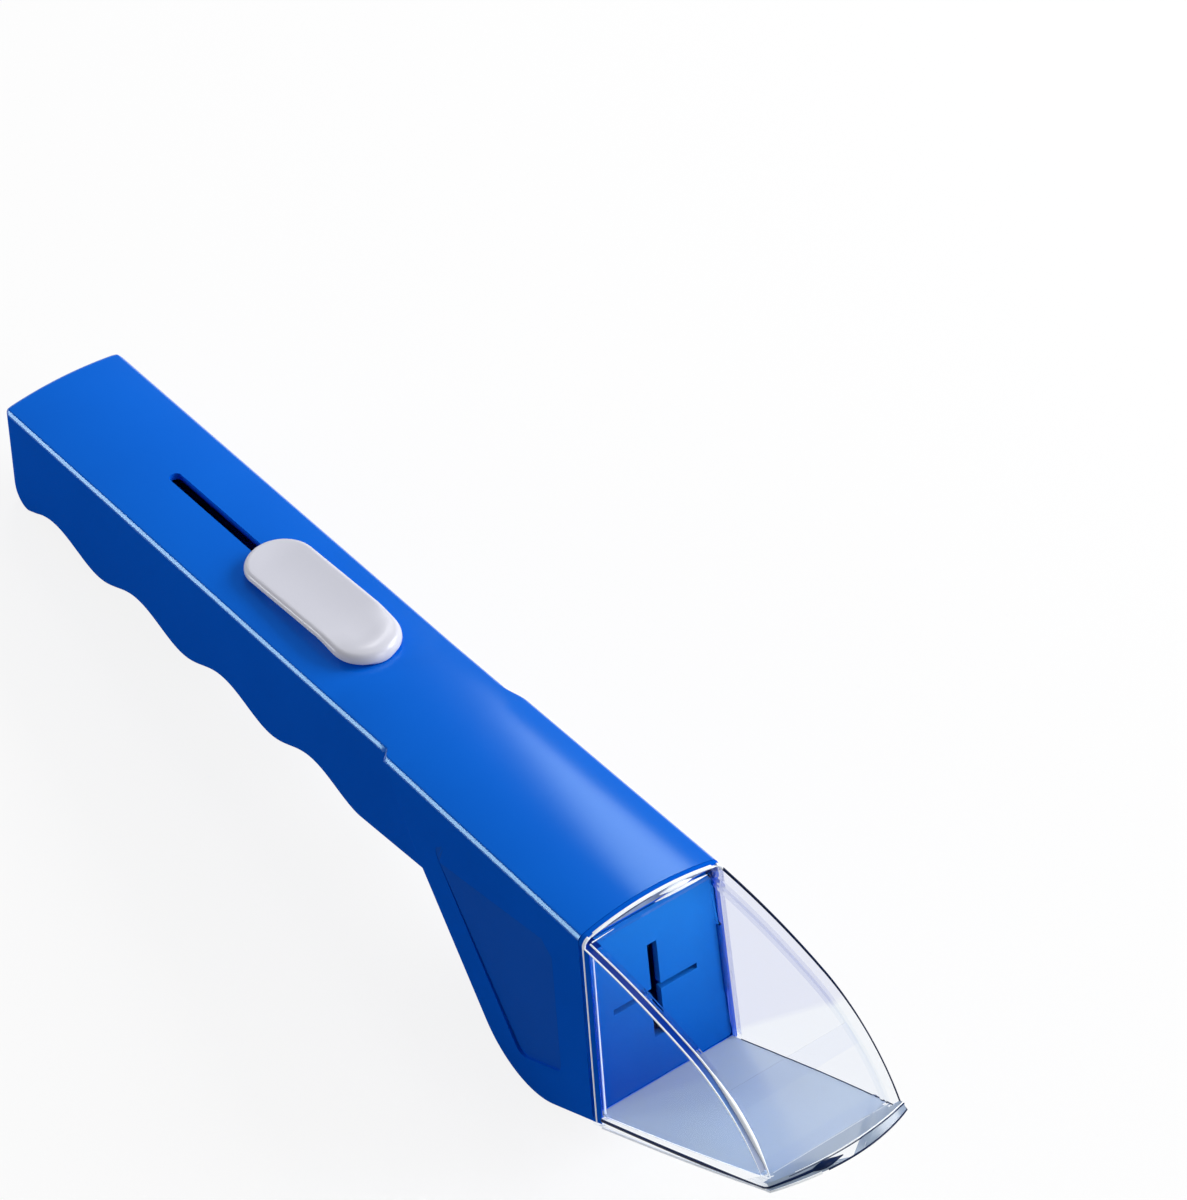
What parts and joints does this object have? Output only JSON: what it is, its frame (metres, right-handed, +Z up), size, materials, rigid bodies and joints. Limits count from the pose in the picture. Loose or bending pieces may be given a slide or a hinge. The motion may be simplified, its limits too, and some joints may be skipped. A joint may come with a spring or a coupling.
{
  "type": "spider catcher",
  "caption": "Hand-held catcher with a blue finger-grip handle, a clear angled capture scoop and a flexible clear shutter worked by a thumb slider.",
  "frame": {"origin": "middle of the bounding box on the surface that the tail's foot and the head's heel stand on", "axes": "+X forward along the handle towards the scoop's lip, +Y across to the left, +Z up"},
  "size_m": [0.2618, 0.0346, 0.061],
  "materials": {
    "shell": "satin gloss moulded plastic",
    "bulkhead": "satin gloss moulded plastic",
    "clear_moulding": "polished clear plastic",
    "clear_film": "polished clear flexible plastic",
    "carriage": "fine matt moulded plastic",
    "button": "satin moulded plastic"
  },
  "bodies": {
    "housing": {"housing_left": "shell", "housing_right": "shell", "bulkhead": "bulkhead", "capture_chamber": "clear_moulding"},
    "slider": {"slider_button": "button", "slider_carriage": "carriage", "shutter_film": "clear_film"},
    "shutter_front": {"shutter_lead_edge": "clear_moulding"}
  },
  "joints": [
    {"name": "shutter_slide", "type": "slide", "parent": "housing", "child": "slider", "axis": [-0.9865, 0, -0.1638], "range_m": [0, 0.05563], "deforming": ["shutter_film"]},
    {"name": "shutter_curl", "type": "hinge", "parent": "slider", "child": "shutter_front", "pos_m": [0.10854, 0, 0.05804], "axis": [0, -1, 0], "range_deg": [0, 62.73]}
  ],
  "couplings": [
    {"joint": "shutter_curl", "follows": "shutter_slide", "rad_per_m": 19.677}
  ]
}
